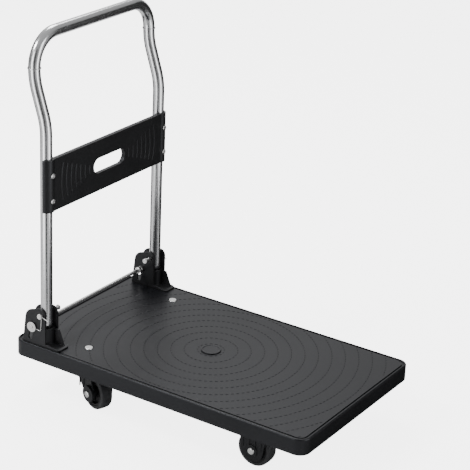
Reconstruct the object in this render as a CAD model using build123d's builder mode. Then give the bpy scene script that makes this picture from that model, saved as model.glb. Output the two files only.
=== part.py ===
"""Folding platform cart: a moulded deck on four casters with a steel handle that folds flat over it.

X runs along the cart with +X towards the front, and the handle stands at the rear, -X.
Y runs across it and +Z is up. The origin is on the floor under the middle of the deck.
All sizes are in millimetres.
"""
from build123d import *
from math import atan2, cos, degrees, hypot, radians, sin, sqrt
import os

os.makedirs("parts", exist_ok=True)

# Deck
DECK_LENGTH = 720.0
DECK_WIDTH = 424.0
DECK_TOP = 125.0                # rim of the deck above the floor
DECK_DEPTH = 35.0               # height of the deck's skirt
DECK_CORNER = 24.0
DECK_WALL = 3.6
PLATE = 4.5                     # thickness of the deck's top plate
RIM_WIDTH = 4.3                 # the load surface starts inside it
GROOVE_WIDTH = 2.6
GROOVE_DEPTH = 1.5
RIB = 2.6
RIB_DEPTH = 12.5                # the ribs stay well above the skirt's lower edge
DECK_BOTTOM = DECK_TOP - DECK_DEPTH
FIELD = DECK_TOP - 0.5          # load surface, a little below the rim
CAP_RADIUS = 21.5
CAP_RISE = 2.2
CAP_SEAT = 1.4

# Handle
TUBE_RADIUS = 12.5
TUBE_BORE = 11.0
TUBE_Y = 190.0                  # half the distance between the uprights
PIVOT_X = -287.0
PIVOT_Z = DECK_TOP + 71.0
TUBE_TAIL = 33.0                # length of tube below the pivot
SETBACK = 29.5                  # how far the grip stands behind the uprights
LOW_BEND_Z = DECK_TOP + 483.0
HIGH_BEND_Z = DECK_TOP + 573.0
GRIP_Z = DECK_TOP + 660.0
EASY_BEND = 145.0
CORNER_BEND = 63.0

# Hinge brackets
BRACKET_HALF = 17.5             # half the width across the cheeks
CHEEK_OUT = TUBE_Y + BRACKET_HALF
CHEEK = 4.0
BRACKET_BACK = -337.0
BRACKET_TOE = -240.5
BRACKET_BASE = 8.0
LONG_CHEEK_FRONT = -270.0
SHORT_CHEEK_FRONT = -277.0
STOP_RADIUS = 12.8              # bore of the half-round stop wall in front of the tube
STOP_FRONT = PIVOT_X + BRACKET_HALF
STOP_HEIGHT = 42.0
FIN = 4.0
FIN_OFFSET = 8.0                # the fin stands this far to +Y of the tube
FIN_TOP = -260.0
FIN_TOE = -246.0
BRACKET_BOLTS = (-324.0, -300.0, -254.0)
BOLT_GRIP = 4.5                 # length of bolt inside the bracket's base

# Pivot pins and lock rod
PIN_RADIUS = 4.0
PIN_INNER_END = 151.0
PIN_OUTER_END = 215.5
ROD_RADIUS = 4.0
ROD_X = PIVOT_X - 24.6
ROD_Z = PIVOT_Z - 31.5
ROD_BACK = -6.0                 # travel of the pressed rod along X
ROD_DOWN = -26.3                # and along Z
SLOT_CLEAR = 0.4
DISC_RADIUS = 11.2
DISC_INNER = 209.6
DISC_OUTER = 211.1
ROD_END = 213.0

# Handle panel
PANEL_LOW = DECK_TOP + 301.0
PANEL_HIGH = DECK_TOP + 413.5
PANEL_FRONT = -272.6
PANEL_THICK = 4.4
PANEL_FLANGE = 5.0
CUP_RADIUS = 17.0
CUP_EDGE = -284.0               # the cups reach back to here on the tubes
PANEL_SCREWS = (DECK_TOP + 325.0, DECK_TOP + 380.0)
HAND_HOLE_LENGTH = 105.0
HAND_HOLE_HEIGHT = 33.0
RIPPLES = 7
RIPPLE_FIRST = 67.0
RIPPLE_PITCH = 15.2
RIPPLE_WIDTH = 2.8
RIPPLE_DEPTH = 1.1

# Casters
WHEEL_RADIUS = 38.0
TYRE_HALF = 13.0
CORE_RADIUS = 30.0
LEG_IN = 14.7                   # inner face of a fork leg from the wheel's mid plane
LEG_OUT = 20.0
AXLE_RADIUS = 4.0
RUNNING = 0.08                  # radial clearance of the turning fits
CASTER_Y = 150.0
KING_X = -207.0
KING_RADIUS = 6.0
TRAIL = 34.0
FRONT_X = 218.0
RACE_LOW = DECK_BOTTOM - 4.0
FORK_TOP = DECK_BOTTOM - 7.0
SWIVEL_REST = {"right": -18.0, "left": 12.0}    # rest angles of the rear casters, degrees
PLATE_SCREWS = [(x, y) for x in (-29.0, 29.0) for y in (-27.5, 27.5)]

SIDES = {"right": -1, "left": 1}
PANEL_MIDDLE = (PANEL_LOW + PANEL_HIGH) / 2


def save(part, label):
    """Label a finished piece and write it to its own file."""
    part.label = label
    export_step(part, f"parts/{label}.step")


def facing_side(y):
    """Plane at y across the cart whose own axes are X and Z. Extrusions run towards -Y."""
    return Plane(origin=(0, y, 0), x_dir=(1, 0, 0), z_dir=(0, -1, 0))


def between(side, near, far):
    """Plane from which an extrusion of far - near fills y from near to far on one side."""
    return facing_side(max(side * near, side * far))


# One plastic moulding: top plate with a raised rim, skirt, and a grid of ribs underneath.
with BuildPart() as deck:
    with BuildSketch(Plane.XY.offset(DECK_BOTTOM)):
        RectangleRounded(DECK_LENGTH, DECK_WIDTH, DECK_CORNER)
    extrude(amount=DECK_DEPTH)
    fillet(deck.faces().sort_by(Axis.Z)[-1].edges(), radius=3.0)
    with BuildSketch(Plane.XY.offset(DECK_BOTTOM)):
        RectangleRounded(DECK_LENGTH - 2 * DECK_WALL, DECK_WIDTH - 2 * DECK_WALL,
                         DECK_CORNER - DECK_WALL)
    extrude(amount=DECK_DEPTH - PLATE, mode=Mode.SUBTRACT)
    with BuildSketch(Plane.XY.offset(FIELD)):
        RectangleRounded(DECK_LENGTH - 2 * RIM_WIDTH, DECK_WIDTH - 2 * RIM_WIDTH,
                         DECK_CORNER - RIM_WIDTH)
    extrude(amount=DECK_DEPTH, mode=Mode.SUBTRACT)
    with BuildSketch(Plane.XY.offset(FIELD - GROOVE_DEPTH)):
        RectangleRounded(DECK_LENGTH - 2 * RIM_WIDTH, DECK_WIDTH - 2 * RIM_WIDTH,
                         DECK_CORNER - RIM_WIDTH)
        groove_edge = RIM_WIDTH + GROOVE_WIDTH
        RectangleRounded(DECK_LENGTH - 2 * groove_edge, DECK_WIDTH - 2 * groove_edge,
                         DECK_CORNER - groove_edge, mode=Mode.SUBTRACT)
    extrude(amount=DECK_DEPTH, mode=Mode.SUBTRACT)
    with BuildSketch(Plane.XY.offset(DECK_TOP - PLATE - RIB_DEPTH)):
        for rib_y in (-160.0, -96.0, -32.0, 32.0, 96.0, 160.0):
            with Locations((0, rib_y)):
                Rectangle(DECK_LENGTH - 2 * DECK_WALL + 1, RIB)
        for rib_x in range(-330, 331, 60):
            with Locations((rib_x, 0)):
                Rectangle(RIB, DECK_WIDTH - 2 * DECK_WALL + 1)
    extrude(amount=RIB_DEPTH)
    with BuildSketch(Plane.XY.offset(DECK_BOTTOM)):
        for side in SIDES.values():
            with Locations((KING_X, side * CASTER_Y)):
                Circle(31.0)
            with Locations((FRONT_X, side * CASTER_Y)):
                RectangleRounded(80, 72, 8)
            for bolt_x in BRACKET_BOLTS:
                with Locations((bolt_x, side * TUBE_Y)):
                    Circle(10.0)
    extrude(amount=DECK_DEPTH - PLATE)
    with BuildSketch(Plane.XY.offset(DECK_BOTTOM)):
        for side in SIDES.values():
            with Locations((KING_X, side * CASTER_Y)):
                Circle(KING_RADIUS)
            for bolt_x in BRACKET_BOLTS:
                with Locations((bolt_x, side * TUBE_Y)):
                    Circle(3.0)
    extrude(amount=DECK_DEPTH, mode=Mode.SUBTRACT)
    # deep pockets below for the bracket bolts, shallow seats above for the cap and king bolts
    with BuildSketch(Plane.XY.offset(DECK_BOTTOM)):
        for side in SIDES.values():
            for bolt_x in BRACKET_BOLTS:
                with Locations((bolt_x, side * TUBE_Y)):
                    Circle(7.5)
    extrude(amount=DECK_DEPTH - PLATE - 4.0, mode=Mode.SUBTRACT)
    with BuildSketch(Plane.XY.offset(DECK_BOTTOM)):
        for side in SIDES.values():
            for dx, dy in PLATE_SCREWS:
                with Locations((FRONT_X + dx, side * CASTER_Y + dy)):
                    Circle(2.5)
    extrude(amount=16, mode=Mode.SUBTRACT)
    with BuildSketch(Plane.XY.offset(FIELD - 0.8)):
        for side in SIDES.values():
            with Locations((KING_X, side * CASTER_Y)):
                Circle(10.5)
    extrude(amount=3, mode=Mode.SUBTRACT)
    with BuildSketch(Plane.XY.offset(FIELD - CAP_SEAT)):
        Circle(CAP_RADIUS + 0.2)
    extrude(amount=3, mode=Mode.SUBTRACT)
save(deck.part, "deck")

# A plain round plug closes the middle of the moulding.
with BuildPart() as deck_center_cap:
    with BuildSketch(Plane.XY.offset(FIELD - CAP_SEAT)):
        Circle(CAP_RADIUS)
    extrude(amount=CAP_SEAT + CAP_RISE)
    fillet(deck_center_cap.faces().sort_by(Axis.Z)[-1].edges(), radius=1.2)
save(deck_center_cap.part, "deck_center_cap")

# The uprights and the grip are one bent steel tube with open lower ends.
HALF_ROUTE = [(PIVOT_X, TUBE_Y, PIVOT_Z - TUBE_TAIL), (PIVOT_X, TUBE_Y, LOW_BEND_Z),
              (PIVOT_X - SETBACK, TUBE_Y, HIGH_BEND_Z), (PIVOT_X - SETBACK, TUBE_Y, GRIP_Z)]
ROUTE = HALF_ROUTE + [(x, -y, z) for x, y, z in reversed(HALF_ROUTE)]
with BuildPart() as handle_tube:
    with BuildLine() as route:
        FilletPolyline(ROUTE, radius=[EASY_BEND, EASY_BEND, CORNER_BEND,
                                      CORNER_BEND, EASY_BEND, EASY_BEND])
    with BuildSketch(Plane(origin=ROUTE[0], z_dir=(0, 0, 1))):
        Circle(TUBE_RADIUS)
        Circle(TUBE_BORE, mode=Mode.SUBTRACT)
    sweep()
    for side in SIDES.values():
        with BuildSketch(between(side, TUBE_Y - 20, TUBE_Y + 20)):
            with Locations((PIVOT_X, PIVOT_Z)):
                Circle(PIN_RADIUS + RUNNING)
        extrude(amount=40, mode=Mode.SUBTRACT)
        with BuildSketch(Plane(origin=(PIVOT_X, side * TUBE_Y, 0), z_dir=(1, 0, 0),
                               x_dir=(0, 1, 0))):
            for screw_z in PANEL_SCREWS:
                with Locations((0, screw_z)):
                    Circle(2.5)
        extrude(amount=20, mode=Mode.SUBTRACT)
save(handle_tube.part, "handle_tube")

# A moulded panel braces the uprights: a plate with a hand hole, and a cup round each tube.
with BuildPart() as handle_panel:
    with BuildSketch(Plane.XY.offset(PANEL_LOW)):
        with Locations((PANEL_FRONT - PANEL_THICK / 2, 0)):
            Rectangle(PANEL_THICK, 2 * TUBE_Y)
        with Locations((PIVOT_X, TUBE_Y), (PIVOT_X, -TUBE_Y)):
            Circle(CUP_RADIUS)
            Circle(TUBE_RADIUS, mode=Mode.SUBTRACT)
        with Locations((CUP_EDGE - 20, 0)):
            Rectangle(40, DECK_WIDTH, mode=Mode.SUBTRACT)
    extrude(amount=PANEL_HIGH - PANEL_LOW)
    for flange_z in (PANEL_LOW, PANEL_HIGH - 3.0):
        with BuildSketch(Plane.XY.offset(flange_z)):
            with Locations((PANEL_FRONT - PANEL_THICK - PANEL_FLANGE / 2, 0)):
                Rectangle(PANEL_FLANGE, 2 * (TUBE_Y - CUP_RADIUS + 4.0))
        extrude(amount=3.0)
    # hand hole with a rim round it at the back
    with BuildSketch(Plane(origin=(PANEL_FRONT, 0, PANEL_MIDDLE), z_dir=(-1, 0, 0),
                           x_dir=(0, 1, 0))):
        SlotOverall(HAND_HOLE_LENGTH + 7.0, HAND_HOLE_HEIGHT + 7.0)
    extrude(amount=PANEL_THICK + PANEL_FLANGE)
    with BuildSketch(Plane(origin=(PANEL_FRONT + 5, 0, PANEL_MIDDLE), z_dir=(-1, 0, 0),
                           x_dir=(0, 1, 0))):
        SlotOverall(HAND_HOLE_LENGTH, HAND_HOLE_HEIGHT)
    extrude(amount=30, mode=Mode.SUBTRACT)
    # curved ripples on the front, taller towards the tubes
    for turn in range(RIPPLES):
        ripple = RIPPLE_FIRST + RIPPLE_PITCH * turn
        half_height = 10.0 + 32.0 * turn / (RIPPLES - 1)
        half_angle = degrees(atan2(half_height, sqrt(ripple ** 2 - half_height ** 2)))
        for middle in (0.0, 180.0):
            with BuildSketch(Plane(origin=(PANEL_FRONT - RIPPLE_DEPTH, 0, PANEL_MIDDLE),
                                   z_dir=(1, 0, 0), x_dir=(0, 1, 0))):
                SlotArc(CenterArc((0, 0), ripple, middle - half_angle, 2 * half_angle),
                        RIPPLE_WIDTH)
            extrude(amount=3, mode=Mode.SUBTRACT)
    for side in SIDES.values():
        with BuildSketch(Plane(origin=(PIVOT_X, side * TUBE_Y, 0), z_dir=(1, 0, 0),
                               x_dir=(0, 1, 0))):
            for screw_z in PANEL_SCREWS:
                with Locations((0, screw_z)):
                    Circle(2.5)
        extrude(amount=30, mode=Mode.SUBTRACT)
save(handle_panel.part, "handle_panel")

# Four pan-head screws hold the panel's cups to the tubes.
with BuildPart() as panel_screws:
    for side in SIDES.values():
        for screw_z in PANEL_SCREWS:
            cup_front = PIVOT_X + CUP_RADIUS
            face = Plane(origin=(cup_front, side * TUBE_Y, screw_z), z_dir=(1, 0, 0))
            with BuildSketch(face.offset(-7.0)):
                Circle(2.5)
            extrude(amount=7.2)
            with BuildSketch(face):
                Circle(5.6)
            extrude(amount=2.6)
    rims = panel_screws.faces().sort_by(Axis.X)[-4:]
    fillet([edge for face in rims for edge in face.edges()], radius=1.4)
    for side in SIDES.values():
        for screw_z in PANEL_SCREWS:
            head = Plane(origin=(PIVOT_X + CUP_RADIUS + 1.0, side * TUBE_Y, screw_z),
                         z_dir=(1, 0, 0))
            with BuildSketch(head):
                Rectangle(4.6, 1.1)
                Rectangle(1.1, 4.6)
            extrude(amount=4, mode=Mode.SUBTRACT)
save(panel_screws.part, "panel_screws")

# The lock rod runs across behind the uprights and carries collars and end discs.
with BuildPart() as lock_rod:
    with BuildSketch(facing_side(ROD_END)):
        with Locations((ROD_X, ROD_Z)):
            Circle(ROD_RADIUS)
    extrude(amount=2 * ROD_END)
    ends = lock_rod.faces().sort_by(Axis.Y)
    fillet(ends[0].edges() + ends[-1].edges(), radius=1.2)
save(lock_rod.part, "lock_rod")

with BuildPart() as lock_rod_collars:
    for side in SIDES.values():
        for near, far, radius in ((159.4, 165.0, 7.5), (165.0, 166.4, 6.4), (166.4, 172.0, 7.5)):
            with BuildSketch(between(side, near, far)):
                with Locations((ROD_X, ROD_Z)):
                    Circle(radius)
                    Circle(ROD_RADIUS, mode=Mode.SUBTRACT)
            extrude(amount=far - near)
save(lock_rod_collars.part, "lock_rod_collars")

with BuildPart() as lock_rod_discs:
    for side in SIDES.values():
        with BuildSketch(between(side, DISC_INNER, DISC_OUTER)):
            with Locations((ROD_X, ROD_Z)):
                Circle(DISC_RADIUS)
                Circle(ROD_RADIUS, mode=Mode.SUBTRACT)
        extrude(amount=DISC_OUTER - DISC_INNER)
save(lock_rod_discs.part, "lock_rod_discs")


def hinge_bracket(side):
    """Two cheeks on a base, open at the back, with a half-round stop wall in front of the tube.

    Both sides use the same moulding, so its longer cheek and its fin are always on the +Y side.
    """
    middle_y = side * TUBE_Y
    low = FIELD
    with BuildPart() as bracket:
        for front, near, far in ((SHORT_CHEEK_FRONT, -BRACKET_HALF, CHEEK - BRACKET_HALF),
                                 (LONG_CHEEK_FRONT, BRACKET_HALF - CHEEK, BRACKET_HALF)):
            with BuildSketch(facing_side(middle_y + far)) as outline:
                with BuildLine():
                    Polyline((BRACKET_BACK, low), (PIVOT_X - 41.5, PIVOT_Z + 3.0),
                             (front, PIVOT_Z + 18.5), (front, low), close=True)
                make_face()
                fillet(outline.vertices().group_by(Axis.X)[-1].sort_by(Axis.Y)[-1], radius=14.0)
                fillet(outline.vertices().sort_by(Axis.X)[1], radius=20.0)
            extrude(amount=far - near)
        # base with a sloping toe
        with BuildSketch(facing_side(middle_y + BRACKET_HALF)):
            with BuildLine():
                Polyline((BRACKET_BACK, low), (BRACKET_BACK, low + BRACKET_BASE),
                         (STOP_FRONT, low + BRACKET_BASE), (BRACKET_TOE, low + 3.5),
                         (BRACKET_TOE, low), close=True)
            make_face()
        extrude(amount=2 * BRACKET_HALF)
        toe = bracket.edges().filter_by(Axis.Z).group_by(Axis.X)[-1]
        fillet(toe, radius=7.0)
        # half-round wall against the front of the tube
        with BuildSketch(Plane.XY.offset(low)):
            with Locations((PIVOT_X, middle_y)):
                Circle(BRACKET_HALF)
                Circle(STOP_RADIUS, mode=Mode.SUBTRACT)
                with Locations((-BRACKET_HALF, 0)):
                    Rectangle(2 * BRACKET_HALF, 2 * BRACKET_HALF + 2, mode=Mode.SUBTRACT)
        extrude(amount=STOP_HEIGHT)
        # fin that braces the wall
        with BuildSketch(facing_side(middle_y + FIN_OFFSET + FIN / 2)):
            with BuildLine():
                Polyline((PIVOT_X + STOP_RADIUS + 1.0, low), (PIVOT_X + STOP_RADIUS + 1.0, low + 39.0),
                         (FIN_TOP, low + 38.0), (FIN_TOE, low + 4.0), (FIN_TOE, low), close=True)
            make_face()
        extrude(amount=FIN)
        with BuildSketch(facing_side(middle_y + BRACKET_HALF + 1)):
            with Locations((PIVOT_X, PIVOT_Z)):
                Circle(PIN_RADIUS)
            with Locations((ROD_X + ROD_BACK / 2, ROD_Z + ROD_DOWN / 2)):
                SlotCenterToCenter(hypot(ROD_BACK, ROD_DOWN), 2 * (ROD_RADIUS + SLOT_CLEAR),
                                   rotation=degrees(atan2(ROD_DOWN, ROD_BACK)))
        extrude(amount=2 * BRACKET_HALF + 2, mode=Mode.SUBTRACT)
        with BuildSketch(Plane.XY.offset(low)):
            for bolt_x in BRACKET_BOLTS:
                with Locations((bolt_x, middle_y)):
                    Circle(3.0)
        extrude(amount=BOLT_GRIP, mode=Mode.SUBTRACT)
    return bracket.part


def bracket_bolts(side):
    """Three hex-head bolts that rise through the deck into the bracket's base."""
    seat = DECK_BOTTOM + DECK_DEPTH - PLATE - 4.0
    with BuildPart() as bolts:
        for bolt_x in BRACKET_BOLTS:
            place = Plane(origin=(bolt_x, side * TUBE_Y, seat))
            with BuildSketch(place):
                Circle(3.0)
            extrude(amount=FIELD + BOLT_GRIP - seat)
            with BuildSketch(place.offset(-4.0)):
                RegularPolygon(5.8, 6)
            extrude(amount=4.0)
    return bolts.part


def pivot_pin(side):
    """Headed pin through both cheeks and the tube."""
    with BuildPart() as pin:
        with BuildSketch(between(side, PIN_INNER_END, PIN_OUTER_END)):
            with Locations((PIVOT_X, PIVOT_Z)):
                Circle(PIN_RADIUS)
        extrude(amount=PIN_OUTER_END - PIN_INNER_END)
        with BuildSketch(between(side, PIN_INNER_END, PIN_INNER_END + 3.0)):
            with Locations((PIVOT_X, PIVOT_Z)):
                Circle(5.6)
        extrude(amount=3.0)
    return pin.part


def pin_clip(side):
    """Push-on cap that keeps the outer end of the pivot pin."""
    with BuildPart() as clip:
        with BuildSketch(between(side, PIN_OUTER_END - 2.4, PIN_OUTER_END - 0.4)):
            with Locations((PIVOT_X, PIVOT_Z)):
                Circle(5.8)
                Circle(PIN_RADIUS, mode=Mode.SUBTRACT)
        extrude(amount=2.0)
    return clip.part


def lock_spring(side):
    """Spring wire: a coil on the pivot pin, a leg that pulls the rod up, and a short arm."""
    wire = 0.8
    coil_in, coil_out = CHEEK_OUT + 0.2, PIN_OUTER_END - 2.6
    ring_near, ring_far = CHEEK_OUT + 0.2, DISC_INNER - 0.3
    leg_y = side * (CHEEK_OUT + 0.3 + wire)
    with BuildPart() as spring:
        with BuildSketch(between(side, coil_in, coil_out)):
            with Locations((PIVOT_X, PIVOT_Z)):
                Circle(PIN_RADIUS + 0.2 + 2 * wire)
                Circle(PIN_RADIUS + 0.2, mode=Mode.SUBTRACT)
        extrude(amount=coil_out - coil_in)
        with BuildSketch(between(side, ring_near, ring_far)):
            with Locations((ROD_X, ROD_Z)):
                Circle(ROD_RADIUS + 0.3 + 2 * wire)
                Circle(ROD_RADIUS + 0.3, mode=Mode.SUBTRACT)
        extrude(amount=ring_far - ring_near)
        leg = [(PIVOT_X + 1.0, leg_y, PIVOT_Z - 5.0), (PIVOT_X - 1.0, leg_y, ROD_Z - 4.0),
               (ROD_X + ROD_RADIUS + 1.0, leg_y, ROD_Z - 1.0)]
        arm = [(PIVOT_X + 4.6, leg_y, PIVOT_Z - 2.0), (STOP_FRONT + 1.2, leg_y, PIVOT_Z - 8.0)]
        with BuildLine():
            bent_leg = FilletPolyline(leg, radius=4.0)
        with BuildSketch(Plane(origin=leg[0], z_dir=bent_leg % 0)):
            Circle(wire)
        sweep(path=bent_leg)
        with BuildLine():
            straight_arm = Line(*arm)
        with BuildSketch(Plane(origin=arm[0], z_dir=straight_arm % 0)):
            Circle(wire)
        sweep(path=straight_arm)
    return spring.part


for name, side in SIDES.items():
    save(hinge_bracket(side), f"hinge_bracket_{name}")
    save(bracket_bolts(side), f"bracket_bolts_{name}")
    save(pivot_pin(side), f"pivot_pin_{name}")
    save(pin_clip(side), f"pivot_pin_cap_{name}")
    save(lock_spring(side), f"lock_spring_{name}")


def beside(frame, y):
    """Plane at y in a caster's own frame, with x along its travel and y up."""
    return Plane(origin=frame.from_local_coords((0, y, 0)), x_dir=frame.x_dir,
                 z_dir=frame.y_dir * -1)


def fork(frame, trail, fixed):
    """Plastic fork: a top disc or plate, two ribbed legs and bosses for the axle."""
    lobe = 25.0 if fixed else 17.0
    boss = 13.0 if fixed else 18.0
    boss_end = 22.5 if fixed else 26.0
    top = DECK_BOTTOM if fixed else FORK_TOP
    thick = 4.0 if fixed else 5.0
    leg_width = 64.0 if fixed else 50.0
    leg_middle = trail / 2 - (0.0 if fixed else 10.0)
    rib_offsets = (-21.0, -7.0, 7.0, 21.0) if fixed else (-9.0, 5.0)
    with BuildPart() as body:
        with BuildSketch(frame.offset(top - thick)):
            if fixed:
                RectangleRounded(76, 68, 7)
            else:
                Circle(27.0)
        extrude(amount=thick)
        for outer in (LEG_OUT, -LEG_IN):
            with BuildSketch(beside(frame, outer)):
                with Locations((trail, WHEEL_RADIUS)):
                    Circle(lobe)
                with Locations((leg_middle, top - 6.0)):
                    Rectangle(leg_width, 12.0)
                make_hull()
            extrude(amount=LEG_OUT - LEG_IN)
        for outer in (boss_end, -LEG_IN):
            with BuildSketch(beside(frame, outer)):
                with Locations((trail, WHEEL_RADIUS)):
                    Circle(boss)
            extrude(amount=boss_end - LEG_IN)
        for outer in (LEG_OUT + 1.6, -LEG_OUT + 0.5):
            with BuildSketch(beside(frame, outer)):
                for offset_x in rib_offsets:
                    lower = WHEEL_RADIUS + 4.0
                    with Locations((leg_middle + offset_x, (lower + top) / 2)):
                        Rectangle(2.4, top - lower)
            extrude(amount=2.1)
        with BuildSketch(beside(frame, 40)):
            with Locations((trail, WHEEL_RADIUS)):
                Circle(AXLE_RADIUS)
        extrude(amount=80, mode=Mode.SUBTRACT)
        with BuildSketch(frame.offset(top - 40)):
            if fixed:
                for dx, dy in PLATE_SCREWS:
                    with Locations((dx, dy)):
                        Circle(2.5)
            else:
                Circle(KING_RADIUS + RUNNING)
        extrude(amount=60, mode=Mode.SUBTRACT)
    return body.part


def wheel_core(frame, trail):
    """Hard hub with a thin web and a rim under the tyre."""
    axis = Axis(beside(frame, 0).from_local_coords((trail, WHEEL_RADIUS, 0)), frame.y_dir)
    section = Plane(origin=axis.position, x_dir=frame.x_dir, z_dir=(0, 0, 1))
    with BuildPart() as core:
        with BuildSketch(section):
            with BuildLine():
                Polyline((6, -14), (12, -14), (12, -4), (25, -4), (25, -12), (CORE_RADIUS, -12),
                         (CORE_RADIUS, 12), (25, 12), (25, 4), (12, 4), (12, 14), (6, 14),
                         close=True)
            make_face()
        revolve(axis=axis)
    return core.part


def tyre(frame, trail):
    """Grey rubber tyre with a slightly crowned tread and round shoulders."""
    axis = Axis(beside(frame, 0).from_local_coords((trail, WHEEL_RADIUS, 0)), frame.y_dir)
    section = Plane(origin=axis.position, x_dir=frame.x_dir, z_dir=(0, 0, 1))
    with BuildPart() as rubber:
        with BuildSketch(section) as profile:
            with BuildLine():
                Line((CORE_RADIUS, -TYRE_HALF), (CORE_RADIUS, TYRE_HALF))
                Line((CORE_RADIUS, TYRE_HALF), (WHEEL_RADIUS - 0.8, TYRE_HALF))
                ThreePointArc((WHEEL_RADIUS - 0.8, TYRE_HALF), (WHEEL_RADIUS, 0),
                              (WHEEL_RADIUS - 0.8, -TYRE_HALF))
                Line((WHEEL_RADIUS - 0.8, -TYRE_HALF), (CORE_RADIUS, -TYRE_HALF))
            make_face()
            fillet(profile.vertices().group_by(Axis.X)[-1], radius=3.2)
        revolve(axis=axis)
    return rubber.part


def axle_pieces(frame, trail, end):
    """The sleeve in the hub, the axle bolt with a domed head, and its domed nut."""
    with BuildPart() as sleeve:
        with BuildSketch(beside(frame, 14.3)):
            with Locations((trail, WHEEL_RADIUS)):
                Circle(6.0)
                Circle(AXLE_RADIUS + RUNNING, mode=Mode.SUBTRACT)
        extrude(amount=28.6)
    with BuildPart() as bolt:
        with BuildSketch(beside(frame, end + 2.0)):
            with Locations((trail, WHEEL_RADIUS)):
                Circle(AXLE_RADIUS)
        extrude(amount=2 * end + 2.5)
        with BuildSketch(beside(frame, -end)):
            with Locations((trail, WHEEL_RADIUS)):
                Circle(7.4)
        extrude(amount=3.4)
        tip = bolt.faces().sort_by(Axis(frame.origin, frame.y_dir))[0]
        fillet(tip.edges(), radius=2.6)
    with BuildPart() as nut:
        with BuildSketch(beside(frame, end + 3.6)):
            with Locations((trail, WHEEL_RADIUS)):
                Circle(7.4)
        extrude(amount=3.6)
        with BuildSketch(beside(frame, end + 2.0)):
            with Locations((trail, WHEEL_RADIUS)):
                Circle(AXLE_RADIUS)
        extrude(amount=2.0, mode=Mode.SUBTRACT)
        tip = nut.faces().sort_by(Axis(frame.origin, frame.y_dir))[-1]
        fillet(tip.edges(), radius=1.4)
    return sleeve.part, bolt.part, nut.part


def save_wheel(frame, trail, end, name):
    """Write the wheel, tyre, sleeve and axle pieces of one caster."""
    save(wheel_core(frame, trail), f"wheel_core_{name}")
    save(tyre(frame, trail), f"tyre_{name}")
    sleeve, bolt, nut = axle_pieces(frame, trail, end)
    save(sleeve, f"wheel_bush_{name}")
    save(bolt, f"axle_{name}")
    save(nut, f"axle_nut_{name}")


for name, side in SIDES.items():
    # fixed caster under the front of the deck
    frame = Plane(origin=(FRONT_X, side * CASTER_Y, 0), x_dir=(1, 0, 0), z_dir=(0, 0, 1))
    save(fork(frame, 0.0, True), f"fixed_fork_{name}")
    save_wheel(frame, 0.0, 22.5, f"front_{name}")
    with BuildPart() as fork_screws:
        for dx, dy in PLATE_SCREWS:
            place = Plane(origin=(FRONT_X + dx, side * CASTER_Y + dy, DECK_BOTTOM - 4.0))
            with BuildSketch(place):
                Circle(2.5)
            extrude(amount=18.0)
            with BuildSketch(place.offset(-2.8)):
                Circle(4.8)
            extrude(amount=2.8)
    save(fork_screws.part, f"fork_screws_{name}")

    # swivel caster under the handle end
    rest = radians(SWIVEL_REST[name])
    frame = Plane(origin=(KING_X, side * CASTER_Y, 0), x_dir=(cos(rest), sin(rest), 0),
                  z_dir=(0, 0, 1))
    save(fork(frame, TRAIL, False), f"swivel_fork_{name}")
    save_wheel(frame, TRAIL, 26.0, f"rear_{name}")
    with BuildPart() as swivel_race:
        with BuildSketch(Plane.XY.offset(RACE_LOW)):
            with Locations((KING_X, side * CASTER_Y)):
                Circle(29.0)
                Circle(KING_RADIUS, mode=Mode.SUBTRACT)
        extrude(amount=DECK_BOTTOM - RACE_LOW)
    save(swivel_race.part, f"swivel_race_{name}")
    with BuildPart() as bearing_ring:
        with BuildSketch(Plane.XY.offset(FORK_TOP + 0.3)):
            with Locations((KING_X, side * CASTER_Y)):
                Circle(24.0)
                Circle(12.0, mode=Mode.SUBTRACT)
        extrude(amount=RACE_LOW - FORK_TOP - 0.3)
    save(bearing_ring.part, f"swivel_bearing_{name}")
    with BuildPart() as king_bolt:
        with BuildSketch(Plane.XY.offset(FORK_TOP - 11.5)):
            with Locations((KING_X, side * CASTER_Y)):
                Circle(KING_RADIUS)
        extrude(amount=FIELD - 0.8 - FORK_TOP + 11.5)
        with BuildSketch(Plane.XY.offset(FIELD - 0.8)):
            with Locations((KING_X, side * CASTER_Y)):
                Circle(9.0)
        extrude(amount=2.2)
        fillet(king_bolt.faces().sort_by(Axis.Z)[-1].edges(), radius=1.6)
    save(king_bolt.part, f"king_bolt_{name}")
    with BuildPart() as king_nut:
        with BuildSketch(Plane.XY.offset(FORK_TOP - 11.3)):
            with Locations((KING_X, side * CASTER_Y)):
                RegularPolygon(9.8, 6)
                Circle(KING_RADIUS, mode=Mode.SUBTRACT)
        extrude(amount=6.0)
    save(king_nut.part, f"king_nut_{name}")
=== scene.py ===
from math import asin, cos, pi, radians, sin, tan

import bmesh
import bpy
from mathutils import Matrix, Vector


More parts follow.
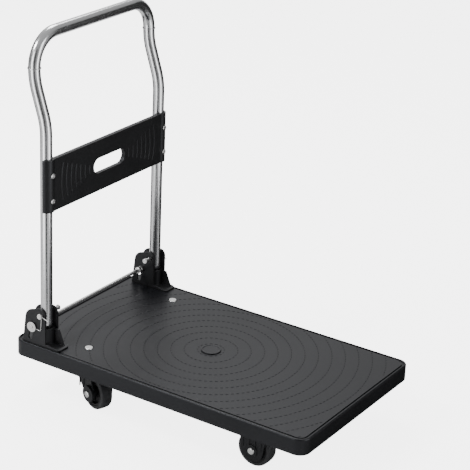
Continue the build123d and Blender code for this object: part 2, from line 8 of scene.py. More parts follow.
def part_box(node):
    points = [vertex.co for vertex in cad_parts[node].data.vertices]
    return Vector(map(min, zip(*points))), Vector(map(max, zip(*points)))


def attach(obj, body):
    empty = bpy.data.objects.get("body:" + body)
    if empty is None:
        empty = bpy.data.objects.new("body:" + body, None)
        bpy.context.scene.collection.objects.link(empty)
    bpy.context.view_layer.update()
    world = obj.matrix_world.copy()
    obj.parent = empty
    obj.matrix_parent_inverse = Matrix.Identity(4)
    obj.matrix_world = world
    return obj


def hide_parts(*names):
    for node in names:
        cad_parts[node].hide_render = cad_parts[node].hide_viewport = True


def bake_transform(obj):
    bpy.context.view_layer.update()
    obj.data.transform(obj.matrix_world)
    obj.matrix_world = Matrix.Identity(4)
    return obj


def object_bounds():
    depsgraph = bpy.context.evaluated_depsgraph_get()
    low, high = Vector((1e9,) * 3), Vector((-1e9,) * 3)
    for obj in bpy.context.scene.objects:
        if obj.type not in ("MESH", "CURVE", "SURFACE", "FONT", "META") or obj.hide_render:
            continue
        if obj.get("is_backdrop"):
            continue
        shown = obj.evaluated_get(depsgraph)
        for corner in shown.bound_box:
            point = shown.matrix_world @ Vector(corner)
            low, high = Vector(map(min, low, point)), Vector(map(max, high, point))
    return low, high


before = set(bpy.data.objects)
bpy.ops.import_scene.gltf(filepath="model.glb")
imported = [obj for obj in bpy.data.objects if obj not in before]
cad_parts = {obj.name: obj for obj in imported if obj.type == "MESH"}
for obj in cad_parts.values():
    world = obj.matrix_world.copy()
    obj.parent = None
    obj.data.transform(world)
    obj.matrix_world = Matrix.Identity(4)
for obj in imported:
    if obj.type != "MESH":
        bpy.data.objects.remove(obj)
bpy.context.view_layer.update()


# Camera. A long lens that stands in front of the cart and to its right, well above the
# handle's grip, and looks down over the deck. The matrix is its place and its turn.
long_lens = bpy.data.cameras.new("view")
long_lens.sensor_width = 36.0
long_lens.lens = 131.43
camera = bpy.data.objects.new("view", long_lens)
bpy.context.scene.collection.objects.link(camera)
camera.matrix_world = Matrix(((0.83096, -0.24614, 0.49893, 1.7783),
                              (0.55493, 0.30294, -0.77477, -2.6877),
                              (0.03955, 0.92067, 0.38832, 1.7463),
                              (0.0, 0.0, 0.0, 1.0)))
bpy.context.scene.camera = camera


# Studio. A sky that brightens overhead and towards the back left, a soft box high on the left
# behind the deck and a smaller one high on the right behind the handle. The camera alone
# sees the sky and the floor glow, as a lit sweep does.
sky = bpy.data.worlds.new("studio")
bpy.context.scene.world = sky
sky.use_nodes = True
air, join = sky.node_tree.nodes, sky.node_tree.links
facing = air.new("ShaderNodeTexCoord")
height = air.new("ShaderNodeSeparateXYZ")
rise = air.new("ShaderNodeMapRange")
for socket, value in (("From Min", 0.1), ("From Max", 0.9), ("To Min", 0.80), ("To Max", 1.6)):
    rise.inputs[socket].default_value = value
toward_back_left = (-0.77, 0.64, 0.0)
behind = air.new("ShaderNodeVectorMath")
behind.operation = "DOT_PRODUCT"
behind.inputs[1].default_value = toward_back_left
shade = air.new("ShaderNodeMapRange")
shade.interpolation_type = "SMOOTHSTEP"
for socket, value in (("From Min", 0.5), ("From Max", 0.97), ("To Min", 0.36), ("To Max", 0.98)):
    shade.inputs[socket].default_value = value
dome = air.new("ShaderNodeMath")
dome.operation = "MULTIPLY"
join.new(facing.outputs["Generated"], behind.inputs[0])
join.new(behind.outputs["Value"], shade.inputs["Value"])
join.new(facing.outputs["Generated"], height.inputs["Vector"])
join.new(height.outputs["Z"], rise.inputs["Value"])
ray = air.new("ShaderNodeLightPath")
backdrop = air.new("ShaderNodeMix")
backdrop_glow, floor_glow = 5.4, 4.6
backdrop.inputs["B"].default_value = backdrop_glow
join.new(ray.outputs["Is Camera Ray"], backdrop.inputs["Factor"])
join.new(rise.outputs["Result"], dome.inputs[0])
join.new(shade.outputs["Result"], dome.inputs[1])
join.new(dome.outputs[0], backdrop.inputs["A"])
join.new(backdrop.outputs["Result"], air["Background"].inputs["Strength"])
air["Background"].inputs["Color"].default_value = (1.0, 1.0, 1.0, 1.0)
for name, place, size, power in (("soft_box", (-1.0, 1.1, 2.4), 0.9, 24.0),
                                 ("small_box", (-1.2, -1.1, 1.9), 0.5, 24.0)):
    lamp = bpy.data.lights.new(name, "AREA")
    lamp.shape = "SQUARE"
    lamp.size = size
    lamp.energy = power
    lit = bpy.data.objects.new(name, lamp)
    bpy.context.scene.collection.objects.link(lit)
    lit.location = place
    lit.rotation_mode = "QUATERNION"
    cart_middle = Vector((0, 0, 0.2))
    lit.rotation_quaternion = (cart_middle - Vector(place)).to_track_quat("-Z", "Y")


def stage_sheet(name, corners, shade, glow, for_camera):
    """A flat sheet of the studio in a grey shade, which gives off light of strength glow.

    It glows for the camera alone, or else only reflections see the sheet at all.
    """
    paint = bpy.data.materials.new(name)
    paint.use_nodes = True
    skin = paint.node_tree.nodes["Principled BSDF"]
    skin.inputs["Base Color"].default_value = (shade, shade, shade, 1.0)
    skin.inputs["Roughness"].default_value = 0.8
    skin.inputs["Specular IOR Level"].default_value = 0.1
    skin.inputs["Emission Color"].default_value = (1.0, 1.0, 1.0, 1.0)
    skin.inputs["Emission Strength"].default_value = glow
    if for_camera:
        ray = paint.node_tree.nodes.new("ShaderNodeLightPath")
        strength = paint.node_tree.nodes.new("ShaderNodeMath")
        strength.operation = "MULTIPLY"
        strength.inputs[1].default_value = glow
        paint.node_tree.links.new(ray.outputs["Is Camera Ray"], strength.inputs[0])
        paint.node_tree.links.new(strength.outputs[0], skin.inputs["Emission Strength"])
    shape = bmesh.new()
    shape.faces.new([shape.verts.new(corner) for corner in corners])
    mesh = bpy.data.meshes.new(name)
    shape.to_mesh(mesh)
    shape.free()
    mesh.materials.append(paint)
    sheet = bpy.data.objects.new(name, mesh)
    bpy.context.scene.collection.objects.link(sheet)
    if not for_camera:
        sheet.visible_camera = sheet.visible_diffuse = sheet.visible_shadow = False
    sheet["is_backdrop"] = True


# Floor. A broad, plain, pale sheet under the wheels, so large that its edge stays far off.
reach = 15.0
stage_sheet("floor", [(-reach, -reach, 0), (reach, -reach, 0), (reach, reach, 0),
                      (-reach, reach, 0)], 0.86, floor_glow, True)


# Cards. Only reflections see them: each is a wedge just over the floor with a sheet standing
# at its far end. Three dark ones draw the tube's edges and middle, two glowing ones light it
# from the sides, and a plain dark one lies on the floor in front of the deck.
card_black, card_far, handle_foot = 0.03, 2.2, Vector((-0.287, 0.0, 0.004))

# Each row has the card's direction and half its spread in degrees, then its near edge, the
# height of its upright sheet and its glow.
for name, middle, spread, near, tall, glow in (("card_middle", -57, 11, 0.55, 2.2, 0.0),
                                               ("card_front", 66, 24, 0.30, 1.5, 0.0),
                                               ("card_back", 174, 16, 0.30, 1.8, 0.0),
                                               ("card_near", -97, 12, 0.95, 2.0, 4.0),
                                               ("card_far", 1, 11, 1.00, 2.0, 4.0)):
    one, other = [Vector((cos(radians(middle + side)), sin(radians(middle + side)), 0.0))
                  for side in (-spread, spread)]
    low = [handle_foot + one * card_far, handle_foot + other * card_far]
    up = Vector((0.0, 0.0, tall))
    stage_sheet(name, [handle_foot + one * near, *low, handle_foot + other * near],
                card_black, glow, False)
    stage_sheet(name + "_upright", [*low, low[1] + up, low[0] + up], card_black, glow, False)
stage_sheet("card_step", [(0.37, -0.22, 0.003), (0.75, -0.22, 0.003), (0.75, 0.7, 0.003),
                          (0.37, 0.7, 0.003)], card_black, 0.0, False)


# Deck. One injection moulding in black plastic, with a raised rim, a shadow groove inside it
# and rings of short dashes pressed all over the top. Ribs and bosses stiffen it underneath.
def grain_group():
    """Fine moulded grain: a shade that drifts slowly, specks of gloss, and a height."""
    group = bpy.data.node_groups.new("moulded_grain", "ShaderNodeTree")
    for socket, way, kind in (("Scale", "INPUT", "Float"), ("Dark", "INPUT", "Color"),
                              ("Light", "INPUT", "Color"), ("Gloss Low", "INPUT", "Float"),
                              ("Gloss High", "INPUT", "Float"), ("Color", "OUTPUT", "Color"),
                              ("Roughness", "OUTPUT", "Float"), ("Height", "OUTPUT", "Float")):
        group.interface.new_socket(socket, in_out=way, socket_type="NodeSocket" + kind)
    made, link = group.nodes, group.links
    given, out = made.new("NodeGroupInput"), made.new("NodeGroupOutput")
    place = made.new("ShaderNodeTexCoord")
    drift = made.new("ShaderNodeTexNoise")
    drift.inputs["Scale"].default_value = 9.0
    drift.inputs["Detail"].default_value = 5.0
    drift.inputs["Roughness"].default_value = 0.6
    link.new(place.outputs["Object"], drift.inputs["Vector"])
    grain = made.new("ShaderNodeTexVoronoi")
    link.new(place.outputs["Object"], grain.inputs["Vector"])
    link.new(given.outputs["Scale"], grain.inputs["Scale"])
    speck = made.new("ShaderNodeTexNoise")
    speck.inputs["Detail"].default_value = 3.0
    link.new(place.outputs["Object"], speck.inputs["Vector"])
    link.new(given.outputs["Scale"], speck.inputs["Scale"])
    shade = made.new("ShaderNodeMix")
    shade.data_type = "RGBA"
    both = made.new("ShaderNodeMath")
    both.operation = "MULTIPLY_ADD"
    both.inputs[1].default_value = 0.35
    link.new(speck.outputs["Fac"], both.inputs[0])
    weak = made.new("ShaderNodeMath")
    weak.operation = "MULTIPLY"
    weak.inputs[1].default_value = 0.65
    link.new(drift.outputs["Fac"], weak.inputs[0])
    link.new(weak.outputs[0], both.inputs[2])
    link.new(both.outputs[0], shade.inputs["Factor"])
    link.new(given.outputs["Dark"], shade.inputs["A"])
    link.new(given.outputs["Light"], shade.inputs["B"])
    gloss = made.new("ShaderNodeMapRange")
    link.new(both.outputs[0], gloss.inputs["Value"])
    gloss.inputs["From Min"].default_value = 0.3
    gloss.inputs["From Max"].default_value = 0.7
    link.new(given.outputs["Gloss Low"], gloss.inputs["To Min"])
    link.new(given.outputs["Gloss High"], gloss.inputs["To Max"])
    link.new(shade.outputs["Result"], out.inputs["Color"])
    link.new(gloss.outputs["Result"], out.inputs["Roughness"])
    link.new(grain.outputs["Distance"], out.inputs["Height"])
    return group


moulded_grain = grain_group()


def plastic(name, dark, light, gloss, scale=900.0, depth=0.00006, strength=0.35):
    """Moulded plastic or rubber: the grain group drives colour, roughness and bump."""
    finish = bpy.data.materials.new(name)
    finish.use_nodes = True
    made, link = finish.node_tree.nodes, finish.node_tree.links
    skin = made["Principled BSDF"]
    grain = made.new("ShaderNodeGroup")
    grain.node_tree = moulded_grain
    grain.inputs["Scale"].default_value = scale
    grain.inputs["Dark"].default_value = (*dark, 1.0)
    grain.inputs["Light"].default_value = (*light, 1.0)
    grain.inputs["Gloss Low"].default_value = gloss[0]
    grain.inputs["Gloss High"].default_value = gloss[1]
    raised = made.new("ShaderNodeBump")
    raised.inputs["Distance"].default_value = depth
    raised.inputs["Strength"].default_value = strength
    link.new(grain.outputs["Color"], skin.inputs["Base Color"])
    link.new(grain.outputs["Roughness"], skin.inputs["Roughness"])
    link.new(grain.outputs["Height"], raised.inputs["Height"])
    link.new(raised.outputs["Normal"], skin.inputs["Normal"])
    skin.inputs["Specular IOR Level"].default_value = 0.34
    skin.inputs["Specular Tint"].default_value = (0.92, 0.94, 1.0, 1.0)
    return finish


def finished(name, mesh, finish, body, stands_for):
    """Link a mesh as a piece in its finish, riding on its body and standing for a CAD node."""
    mesh.materials.clear()
    mesh.materials.append(finish)
    for face in mesh.polygons:
        face.use_smooth = True
    mesh.set_sharp_from_angle(angle=radians(35.0))
    piece = bpy.data.objects.new(name, mesh)
    bpy.context.scene.collection.objects.link(piece)
    flats = piece.modifiers.new("flats", "WEIGHTED_NORMAL")
    flats.mode = "FACE_AREA"
    flats.weight = 100
    flats.keep_sharp = True
    if body:
        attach(piece, body)
    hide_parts(stands_for)
    return piece


def cleaned(node):
    """A CAD node's shape as one closed bmesh with its flat faces whole again."""
    shape = bmesh.new()
    shape.from_mesh(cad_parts[node].data)
    bmesh.ops.remove_doubles(shape, verts=shape.verts, dist=0.000004)
    bmesh.ops.dissolve_limit(shape, angle_limit=radians(0.6), verts=shape.verts,
                             edges=shape.edges)
    return shape


def softened(shape, width, steps=2):
    """Round the sharp edges of a bmesh as the mould or the press leaves them.

    An edge is left sharp where a face beside it is too narrow for the rounding. Edges that
    carry on round a curve are no bar to it.
    """
    sharp, carries_on, room = radians(40.0), radians(140.0), 1.6 * width

    def has_room(edge):
        for face in edge.link_faces:
            for corner in edge.verts:
                beside = [e for e in face.edges if e is not edge and corner in e.verts]
                if not beside:
                    return False
                along = edge.other_vert(corner).co - corner.co
                away = beside[0].other_vert(corner).co - corner.co
                turn = along.angle(away, 0.0)
                if turn < carries_on and away.length * sin(turn) < room:
                    return False
        return True

    corners = [e for e in shape.edges if len(e.link_faces) == 2
               and e.calc_face_angle(0.0) > sharp and has_room(e)]
    bmesh.ops.bevel(shape, geom=corners, offset=width, offset_type="OFFSET", segments=steps,
                    profile=0.5, affect="EDGES", clamp_overlap=False, material=-1)


def as_mesh(shape, name):
    """Write a bmesh out as mesh data."""
    mesh = bpy.data.meshes.new(name)
    shape.to_mesh(mesh)
    shape.free()
    return mesh


deck_plastic = plastic("deck_plastic", (0.0050, 0.0052, 0.0064), (0.0095, 0.0099, 0.0118),
                       (0.32, 0.42), scale=700.0, strength=0.25)
deck_field, deck_half_length, deck_half_width, deck_corner = 0.1245, 0.360, 0.212, 0.024

# The dash cutters are small blocks with cut corners, set out round the centre cap on rings
# 28.2 mm apart. They stop short of the rim, the hinge brackets and the king bolts.
sides = {"right": -1, "left": 1}
rings, ring_step, dash_pitch = 14, 0.0282, 0.0110
dashed_half_length, dashed_half_width = 0.346, 0.200
bracket_front, bracket_inside, bolt_margin = -0.232, 0.164, 0.016
king_bolts = [Vector((-0.207, side * 0.150, deck_field)) for side in sides.values()]
dash_long, dash_wide, dash_deep = 0.0062, 0.0022, 0.0006
cutters = bmesh.new()
pattern = bmesh.ops.create_cube(cutters, size=1.0)["verts"]
bmesh.ops.scale(cutters, vec=(dash_wide, dash_long, 2 * dash_deep), verts=pattern)
bmesh.ops.bevel(cutters, geom=[e for e in cutters.edges
                               if abs(e.verts[0].co.z - e.verts[1].co.z) > dash_deep],
                offset=dash_wide * 0.3, segments=1, profile=0.5, affect="EDGES", material=-1)
pattern = cutters.verts[:] + cutters.edges[:] + cutters.faces[:]
for ring in range(1, rings + 1):
    radius = ring_step * ring
    count = round(2 * pi * radius / dash_pitch)
    for step in range(count):
        turn = 2 * pi * (step + 0.5 * (ring % 2)) / count
        spot = Vector((radius * cos(turn), radius * sin(turn), deck_field))
        outside = abs(spot.x) > dashed_half_length or abs(spot.y) > dashed_half_width
        under_bracket = spot.x < bracket_front and abs(spot.y) > bracket_inside
        at_bolt = min((spot - bolt).length for bolt in king_bolts) < bolt_margin
        if outside or under_bracket or at_bolt:
            continue
        copied = bmesh.ops.duplicate(cutters, geom=pattern)["geom"]
        block = [v for v in copied if isinstance(v, bmesh.types.BMVert)]
        bmesh.ops.rotate(cutters, cent=(0, 0, 0), matrix=Matrix.Rotation(turn, 3, "Z"),
                         verts=block)
        bmesh.ops.translate(cutters, vec=spot, verts=block)
bmesh.ops.delete(cutters, geom=[v for v in pattern if isinstance(v, bmesh.types.BMVert)],
                 context="VERTS")

# The shadow groove is a rounded frame cut just inside the rim.
rim_wide, groove_wide, groove_deep = 0.0045, 0.0046, 0.0021
frame_cut = bmesh.new()
bmesh.ops.create_grid(frame_cut, x_segments=1, y_segments=1, size=1.0)
bmesh.ops.scale(frame_cut, vec=(deck_half_length - rim_wide, deck_half_width - rim_wide, 1.0),
                verts=frame_cut.verts)
bmesh.ops.bevel(frame_cut, geom=frame_cut.verts[:], offset=deck_corner - rim_wide, segments=10,
                profile=0.5, affect="VERTICES", material=-1)
bmesh.ops.inset_region(frame_cut, faces=frame_cut.faces[:], thickness=groove_wide,
                       use_even_offset=True, use_boundary=True)
bmesh.ops.delete(frame_cut, geom=[max(frame_cut.faces, key=lambda f: f.calc_area())],
                 context="FACES_ONLY")
bmesh.ops.solidify(frame_cut, geom=frame_cut.faces[:], thickness=groove_deep + 0.0010)
bmesh.ops.recalc_face_normals(frame_cut, faces=frame_cut.faces)
groove_lift = deck_field - groove_deep - min(v.co.z for v in frame_cut.verts)
bmesh.ops.translate(frame_cut, vec=(0, 0, groove_lift), verts=frame_cut.verts)


def pressed(mesh, cutters, name):
    """The mesh with the cutters' shapes pressed into it."""
    block = bpy.data.objects.new(name, mesh)
    tool = bpy.data.objects.new(name + "_tool", as_mesh(cutters, name + "_tool"))
    for made in (block, tool):
        bpy.context.scene.collection.objects.link(made)
    cut = block.modifiers.new("cut", "BOOLEAN")
    cut.operation = "DIFFERENCE"
    cut.solver = "EXACT"
    cut.object = tool
    bpy.context.view_layer.update()
    result = bpy.data.meshes.new_from_object(block.evaluated_get(
        bpy.context.evaluated_depsgraph_get()))
    for made in (block, tool):
        bpy.data.objects.remove(made)
    result.name = name
    return result


dashed = pressed(as_mesh(cleaned("deck"), "deck_blank"), cutters, "deck_dashed")
finished("deck_moulding", pressed(dashed, frame_cut, "deck_moulding"), deck_plastic,
         "platform", "deck")


# Centre cap. A plain round plug in the deck's own plastic, with a rolled edge and a shallow
# dish, pushed into a seat in the middle of the deck. It is turned from half its outline.
def rounded(corners, radius, steps=4):
    """An outline with its inner corners rounded. Corners are (radius, height) pairs."""
    line = [corners[0]]
    for before, corner, after in zip(corners, corners[1:], corners[2:]):
        corner = Vector(corner)
        back, ahead = Vector(before) - corner, Vector(after) - corner
        cut = min(radius, back.length * 0.48, ahead.length * 0.48)
        start, end = corner + back.normalized() * cut, corner + ahead.normalized() * cut
        for k in range(steps + 1):
            t = k / steps
            line.append(tuple(start * (1 - t) ** 2 + corner * (2 * t * (1 - t)) + end * t * t))
    line.append(corners[-1])
    return line


cap_radius, cap_tall, cap_round = 0.0214, 0.0036, 0.0009
dish_top, dish_radius, dish_floor = 0.0180, 0.0172, 0.0029
outline = rounded([(0.0, 0.0), (cap_radius, 0.0), (cap_radius, cap_tall), (dish_top, cap_tall),
                   (dish_radius, dish_floor), (0.0, dish_floor)], cap_round)
cap = bmesh.new()
half = [cap.verts.new((r, 0.0, h)) for r, h in outline]
for start, end in zip(half, half[1:]):
    cap.edges.new((start, end))
bmesh.ops.spin(cap, geom=cap.verts[:] + cap.edges[:], cent=(0, 0, 0), axis=(0, 0, 1),
               dvec=(0, 0, 0), angle=2 * pi, steps=48, use_merge=True, use_duplicate=False)
bmesh.ops.remove_doubles(cap, verts=cap.verts, dist=0.000005)
bmesh.ops.recalc_face_normals(cap, faces=cap.faces)
bmesh.ops.translate(cap, vec=(0, 0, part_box("deck_center_cap")[0].z), verts=cap.verts)
finished("center_cap", as_mesh(cap, "center_cap"), deck_plastic, "platform",
         "deck_center_cap")


# Handle tube. One length of plated 25 mm steel tube with 1.5 mm walls, bent in six places.
# Its lower ends are open, and the pivot pins hold it in the hinge brackets.
def polish_group():
    """Polished plate: a shade that drifts a little, and the gloss and height of fine lines."""
    group = bpy.data.node_groups.new("polish_lines", "ShaderNodeTree")
    for socket, way, kind in (("Brush", "INPUT", "Vector"), ("Scale", "INPUT", "Float"),
                              ("Dark", "INPUT", "Color"), ("Light", "INPUT", "Color"),
                              ("Gloss Low", "INPUT", "Float"), ("Gloss High", "INPUT", "Float"),
                              ("Color", "OUTPUT", "Color"), ("Roughness", "OUTPUT", "Float"),
                              ("Height", "OUTPUT", "Float")):
        group.interface.new_socket(socket, in_out=way, socket_type="NodeSocket" + kind)
    made, link = group.nodes, group.links
    given, out = made.new("NodeGroupInput"), made.new("NodeGroupOutput")
    place = made.new("ShaderNodeTexCoord")
    spread = made.new("ShaderNodeMapping")
    lines = made.new("ShaderNodeTexNoise")
    lines.inputs["Detail"].default_value = 4.0
    drift = made.new("ShaderNodeTexNoise")
    drift.inputs["Scale"].default_value = 22.0
    drift.inputs["Detail"].default_value = 4.0
    link.new(given.outputs["Brush"], spread.inputs["Scale"])
    link.new(given.outputs["Scale"], lines.inputs["Scale"])
    link.new(place.outputs["Object"], spread.inputs["Vector"])
    link.new(spread.outputs["Vector"], lines.inputs["Vector"])
    link.new(place.outputs["Object"], drift.inputs["Vector"])
    shade = made.new("ShaderNodeMix")
    shade.data_type = "RGBA"
    link.new(drift.outputs["Fac"], shade.inputs["Factor"])
    link.new(given.outputs["Dark"], shade.inputs["A"])
    link.new(given.outputs["Light"], shade.inputs["B"])
    gloss = made.new("ShaderNodeMapRange")
    gloss.inputs["From Min"].default_value = 0.3
    gloss.inputs["From Max"].default_value = 0.7
    link.new(lines.outputs["Fac"], gloss.inputs["Value"])
    link.new(given.outputs["Gloss Low"], gloss.inputs["To Min"])
    link.new(given.outputs["Gloss High"], gloss.inputs["To Max"])
    link.new(shade.outputs["Result"], out.inputs["Color"])
    link.new(gloss.outputs["Result"], out.inputs["Roughness"])
    link.new(lines.outputs["Fac"], out.inputs["Height"])
    return group


polish_lines = polish_group()


def metal(name, tint, rough, scale, mottle, brush=(1.0, 1.0, 1.0)):
    """Plated steel: the polish group drives colour, roughness and bump."""
    finish = bpy.data.materials.new(name)
    finish.use_nodes = True
    made, link = finish.node_tree.nodes, finish.node_tree.links
    skin = made["Principled BSDF"]
    skin.inputs["Metallic"].default_value = 1.0
    polish = made.new("ShaderNodeGroup")
    polish.node_tree = polish_lines
    polish.inputs["Brush"].default_value = brush
    polish.inputs["Scale"].default_value = scale
    polish.inputs["Dark"].default_value = (*[c * (1 - mottle) for c in tint], 1.0)
    polish.inputs["Light"].default_value = (*[min(1.0, c * (1 + mottle)) for c in tint], 1.0)
    polish.inputs["Gloss Low"].default_value = rough * 0.8
    polish.inputs["Gloss High"].default_value = rough * 1.25
    raised = made.new("ShaderNodeBump")
    raised.inputs["Distance"].default_value = 0.00002
    raised.inputs["Strength"].default_value = 0.3
    link.new(polish.outputs["Color"], skin.inputs["Base Color"])
    link.new(polish.outputs["Roughness"], skin.inputs["Roughness"])
    link.new(polish.outputs["Height"], raised.inputs["Height"])
    link.new(raised.outputs["Normal"], skin.inputs["Normal"])
    return finish


# The route runs up one side and down the other. Each corner has its place and bend radius.
tube_radius, tube_wall = 0.0125, 0.0015
half_route = [((-0.287, 0.190, 0.163), 0.0), ((-0.287, 0.190, 0.608), 0.145),
              ((-0.3165, 0.190, 0.698), 0.145), ((-0.3165, 0.190, 0.785), 0.063)]
route = half_route + [((x, -y, z), r) for (x, y, z), r in reversed(half_route)]
bends = []
for k, (corner, radius) in enumerate(route):
    here = Vector(corner)
    if radius == 0.0:
        other = Vector(route[1 if k == 0 else -2][0])
        pull = (other - here) * 0.1
        bends.append((here, here - pull if k == 0 else here + pull,
                      here + pull if k == 0 else here - pull))
        continue
    back = (Vector(route[k - 1][0]) - here).normalized()
    ahead = (Vector(route[k + 1][0]) - here).normalized()
    sweep = pi - back.angle(ahead)
    setback = radius * tan(sweep / 2)
    pull = radius * 4 / 3 * tan(sweep / 4)
    first, last = here + back * setback, here + ahead * setback
    bends.append((first, first + back * 0.004, first - back * pull))
    bends.append((last, last - ahead * pull, last + ahead * 0.004))
line = bpy.data.curves.new("handle_line", "CURVE")
line.dimensions = "3D"
line.resolution_u = 14
line.bevel_depth = tube_radius
line.bevel_resolution = 10
spline = line.splines.new("BEZIER")
spline.bezier_points.add(len(bends) - 1)
for point, (at, left, right) in zip(spline.bezier_points, bends):
    point.co, point.handle_left, point.handle_right = at, left, right
drawn = bpy.data.objects.new("handle_line", line)
bpy.context.scene.collection.objects.link(drawn)
bpy.context.view_layer.update()
tube_mesh = bpy.data.meshes.new_from_object(drawn.evaluated_get(
    bpy.context.evaluated_depsgraph_get()))
bpy.data.objects.remove(drawn)
handle_steel = metal("handle_steel", (0.66, 0.665, 0.675), 0.22, brush=(1.0, 1.0, 0.03),
                     scale=700.0, mottle=0.05)
tube = finished("handle_tube_bent", tube_mesh, handle_steel, "handle",
                "handle_tube")
wall = tube.modifiers.new("wall", "SOLIDIFY")
wall.thickness = tube_wall
wall.offset = -1.0
wall.use_rim = True


# Handle panel. A black plastic moulding that braces the two uprights, with a cup round each
# of them, a hand hole and curved ripples pressed into its front. Four screws hold it.
panel_plastic = plastic("panel_plastic", (0.011, 0.011, 0.0115), (0.020, 0.020, 0.021),
                        (0.36, 0.48), scale=1000.0)
panel_front, panel_middle = -0.2726, 0.48225
ripple_count, first_ripple, ripple_step = 7, 0.067, 0.0152
first_half_length, half_length_step = 0.010, 0.0053
ripple_wide, ripple_deep, cutter_over = 0.0034, 0.0013, 0.0008
ripples = bmesh.new()
for side in sides.values():
    for count in range(ripple_count):
        radius = first_ripple + ripple_step * count
        half_turn = asin((first_half_length + half_length_step * count) / radius)
        section = [ripples.verts.new((panel_front + depth, side * (radius + across), 0.0))
                   for depth, across in ((cutter_over, -0.62 * ripple_wide),
                                         (cutter_over, 0.62 * ripple_wide),
                                         (-ripple_deep, 0.22 * ripple_wide),
                                         (-ripple_deep, -0.22 * ripple_wide))]
        rim = [ripples.edges.new((a, b)) for a, b in zip(section, section[1:] + section[:1])]
        bmesh.ops.rotate(ripples, cent=(0, 0, 0), matrix=Matrix.Rotation(-half_turn, 3, "X"),
                         verts=section)
        bmesh.ops.spin(ripples, geom=section + rim, cent=(0, 0, 0), axis=(1, 0, 0),
                       dvec=(0, 0, 0), angle=2 * half_turn, steps=12, use_merge=False,
                       use_duplicate=False)
bmesh.ops.holes_fill(ripples, edges=[e for e in ripples.edges if e.is_boundary])
bmesh.ops.recalc_face_normals(ripples, faces=ripples.faces)
bmesh.ops.translate(ripples, vec=(0, 0, panel_middle), verts=ripples.verts)
panel = cleaned("handle_panel")
softened(panel, 0.0006)
finished("handle_panel_moulding",
         pressed(as_mesh(panel, "panel_blank"), ripples, "handle_panel_moulding"),
         panel_plastic, "handle", "handle_panel")


def softened_piece(node, name, width, finish, body, steps=2):
    """A piece in its finish from a CAD node, with its sharp edges rounded."""
    shape = cleaned(node)
    softened(shape, width, steps)
    finished(name, as_mesh(shape, name), finish, body, node)


# Panel screws. Four zinc-plated steel screws with pan heads and a cross recess, driven
# through the panel's cups into the tube.
zinc_steel = metal("zinc_steel", (0.80, 0.80, 0.795), 0.26, scale=900.0, mottle=0.07)
softened_piece("panel_screws", "panel_screw_heads", 0.00025, zinc_steel, "handle")


# Hinge brackets. Both sides have the same black plastic moulding, with two cheeks and a
# slot for the lock rod, a half-round stop for the tube's end and one fin that braces it.
bracket_plastic = plastic("bracket_plastic", (0.007, 0.007, 0.0075), (0.016, 0.016, 0.017),
                          (0.34, 0.5), scale=800.0, depth=0.0001, strength=0.5)
for side in sides:
    softened_piece(f"hinge_bracket_{side}", f"hinge_bracket_{side}_moulding", 0.0008,
                   bracket_plastic, "platform", steps=3)


# Bracket bolts and pivot pins, in zinc-plated steel. Three hex-head bolts come up through the
# deck into each bracket. A headed pin with a push-on cap carries each end of the tube.
for side in sides:
    for node in (f"bracket_bolts_{side}", f"pivot_pin_{side}", f"pivot_pin_cap_{side}"):
        softened_piece(node, f"{node}_steel", 0.0004, zinc_steel, "platform")


# Lock rod. A zinc-plated steel rod across both brackets, with a grooved collar beside each of
# them and a disc near each end. It all slides together along the brackets' slots.
for node in ("lock_rod", "lock_rod_collars", "lock_rod_discs"):
    softened_piece(node, f"{node}_steel", 0.0003, zinc_steel, "lock_bar")


# Front forks. Ribbed black plastic mouldings that can't turn, each held under the deck by
# four zinc-plated screws.
caster_plastic = plastic("caster_plastic", (0.007, 0.007, 0.0075), (0.014, 0.014, 0.015),
                         (0.36, 0.5), scale=1000.0)
for side in sides:
    softened_piece(f"fixed_fork_{side}", f"fixed_fork_{side}_made", 0.0007, caster_plastic,
                   "platform")
    softened_piece(f"fork_screws_{side}", f"fork_screws_{side}_made", 0.0004, zinc_steel,
                   "platform")


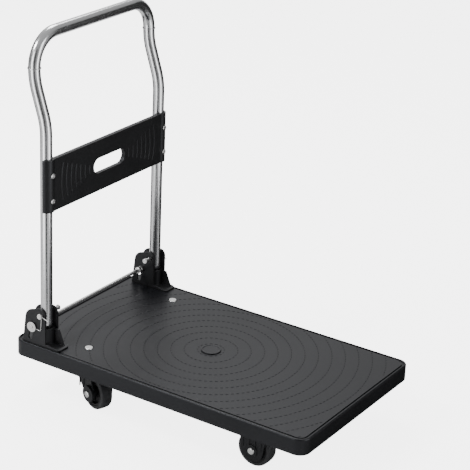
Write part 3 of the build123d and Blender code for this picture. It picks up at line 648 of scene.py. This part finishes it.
# Rear swivels. A ribbed fork turns on a pale nylon bearing under a black race. A zinc-plated
# king bolt comes down through the deck, and its nut holds the set together.
nylon = plastic("nylon", (0.50, 0.49, 0.45), (0.60, 0.59, 0.55), (0.4, 0.5), scale=1200.0)
for side in sides:
    softened_piece(f"swivel_fork_{side}", f"swivel_fork_{side}_made", 0.0007, caster_plastic,
                   f"rear_swivel_{side}")
    for node, width, finish, slot in (("swivel_race", 0.0006, caster_plastic, "caster_plastic"),
                                      ("swivel_bearing", 0.0003, nylon, "bush_plastic"),
                                      ("king_bolt", 0.0002, zinc_steel, "zinc_steel"),
                                      ("king_nut", 0.0005, zinc_steel, "zinc_steel")):
        softened_piece(f"{node}_{side}", f"{node}_{side}_made", width, finish, "platform")


# Wheels. Black plastic cores with a grey-black rubber tyre moulded on and a steel bush in the
# hub. Each turns on a zinc-plated axle with a domed head and nut, fast in its fork.
wheel_plastic = plastic("wheel_plastic", (0.010, 0.010, 0.0105), (0.020, 0.020, 0.021),
                        (0.4, 0.55), scale=1200.0)
tyre_rubber = plastic("tyre_rubber", (0.035, 0.036, 0.037), (0.060, 0.061, 0.063),
                      (0.5, 0.65), scale=1500.0)
for side in sides:
    for end, fork_body in (("front", "platform"), ("rear", f"rear_swivel_{side}")):
        where, wheel = f"{end}_{side}", f"{end}_wheel_{side}"
        softened_piece(f"wheel_core_{where}", f"wheel_core_{where}_made", 0.0007,
                       wheel_plastic, wheel)
        softened_piece(f"wheel_bush_{where}", f"wheel_bush_{where}_made", 0.0003, zinc_steel,
                       wheel)
        finished(f"tyre_{where}_made", as_mesh(cleaned(f"tyre_{where}"), f"tyre_{where}_made"),
                 tyre_rubber, wheel, f"tyre_{where}")
        for node in (f"axle_{where}", f"axle_nut_{where}"):
            softened_piece(node, f"{node}_made", 0.0002, zinc_steel, fork_body)


# Lock springs. Each is one length of bright spring wire coiled round its pivot pin, with a
# ring at its other end that hangs on the lock rod. Here the wire is one fixed mesh on no body.
spring_steel = metal("spring_steel", (0.74, 0.74, 0.735), 0.22, scale=1400.0, mottle=0.05)
for name, side in sides.items():
    node = f"lock_spring_{name}"
    wire = finished(f"{node}_wire", as_mesh(cleaned(node), f"{node}_wire"), spring_steel, None,
                    node)
    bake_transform(wire)


low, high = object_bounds()
